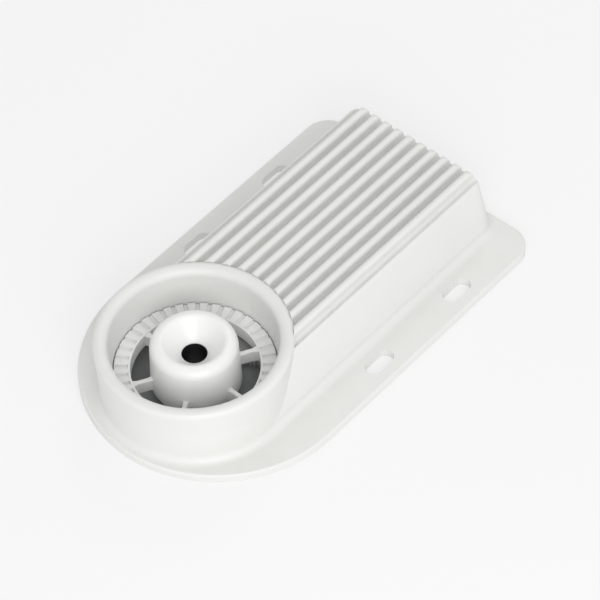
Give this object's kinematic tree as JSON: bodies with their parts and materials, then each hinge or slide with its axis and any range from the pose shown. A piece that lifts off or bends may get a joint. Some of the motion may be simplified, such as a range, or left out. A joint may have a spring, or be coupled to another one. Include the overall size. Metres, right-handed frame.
{
  "type": "garage door opener",
  "caption": "Flat wall-mounted garage door drive: slotted D-shaped flange, finned housing, and a keyed drive wheel with a bored boss turning in a round cup.",
  "frame": {"origin": "where the drive wheel's axis meets the mounting plane, at the foot of the wheel's bore", "axes": "+X from the drive wheel along the fins to the squared end, +Z out of the mounting plane along the wheel's axis, Y across the flange"},
  "size_m": [0.236, 0.144, 0.042],
  "materials": {
    "housing_paint": "satin white powder coat on die-cast aluminium",
    "wheel_plastic": "white moulded acetal, satin to gloss",
    "cover_plastic": "fine-textured grey moulded plastic",
    "seal_rubber": "matt black rubber",
    "steel_fasteners": "zinc-plated steel",
    "ground_steel": "ground steel",
    "dark_steel": "blackened steel",
    "bronze": "oil-filled sintered bronze",
    "wear_plastic": "natural nylon",
    "gear_plastic": "grey glass-filled nylon",
    "zinc_plate": "zinc-plated sheet steel",
    "lamination": "stacked silicon-steel laminations",
    "copper_wire": "enamelled copper wire",
    "magnet": "nickel-plated magnets",
    "heat_pad": "soft silicone pad",
    "circuit_board": "green solder mask on glass laminate",
    "black_plastic": "black epoxy packages",
    "capacitor_sleeve": "dark heat-shrunk sleeve",
    "terminal_plastic": "green polyamide"
  },
  "bodies": {
    "casing": {"housing": "housing_paint", "back_cover": "cover_plastic", "cover_gasket": "seal_rubber", "cover_screws": "steel_fasteners", "hub_bush": "bronze", "thrust_washer": "wear_plastic", "wheel_seal": "seal_rubber", "idler_pin": "ground_steel", "idler_washers": "wear_plastic", "motor_plate": "zinc_plate", "motor_plate_screws": "steel_fasteners", "motor_can": "zinc_plate", "motor_bush_lower": "bronze", "motor_bush_upper": "bronze", "stator_core": "lamination", "stator_coils": "copper_wire", "motor_pad": "heat_pad", "control_board": "circuit_board", "board_screws": "steel_fasteners", "power_transistors": "black_plastic", "transistor_pad": "heat_pad", "capacitors": "capacitor_sleeve", "control_chips": "black_plastic", "terminal_block": "terminal_plastic", "motor_connector": "wear_plastic", "cable_grommet": "seal_rubber"},
    "wheel": {"drive_wheel": "wheel_plastic", "hub_sleeve": "dark_steel", "ring_gear": "gear_plastic", "ring_gear_screws": "steel_fasteners"},
    "idler": {"idler_pinion": "ground_steel", "idler_gear": "gear_plastic"},
    "rotor": {"rotor_core": "lamination", "rotor_magnets": "magnet", "motor_shaft": "ground_steel", "motor_pinion": "bronze"}
  },
  "joints": [
    {"name": "wheel_spin", "type": "hinge", "parent": "casing", "child": "wheel", "pos_m": [0, 0, 0], "axis": [0, 0, 1], "continuous": true},
    {"name": "idler_spin", "type": "hinge", "parent": "casing", "child": "idler", "pos_m": [0.0525, 0, 0], "axis": [0, 0, 1], "continuous": true},
    {"name": "rotor_spin", "type": "hinge", "parent": "casing", "child": "rotor", "pos_m": [0.0861, 0, 0], "axis": [0, 0, 1], "continuous": true}
  ],
  "couplings": [
    {"joint": "idler_spin", "follows": "wheel_spin", "ratio": -5},
    {"joint": "rotor_spin", "follows": "wheel_spin", "ratio": 30}
  ]
}
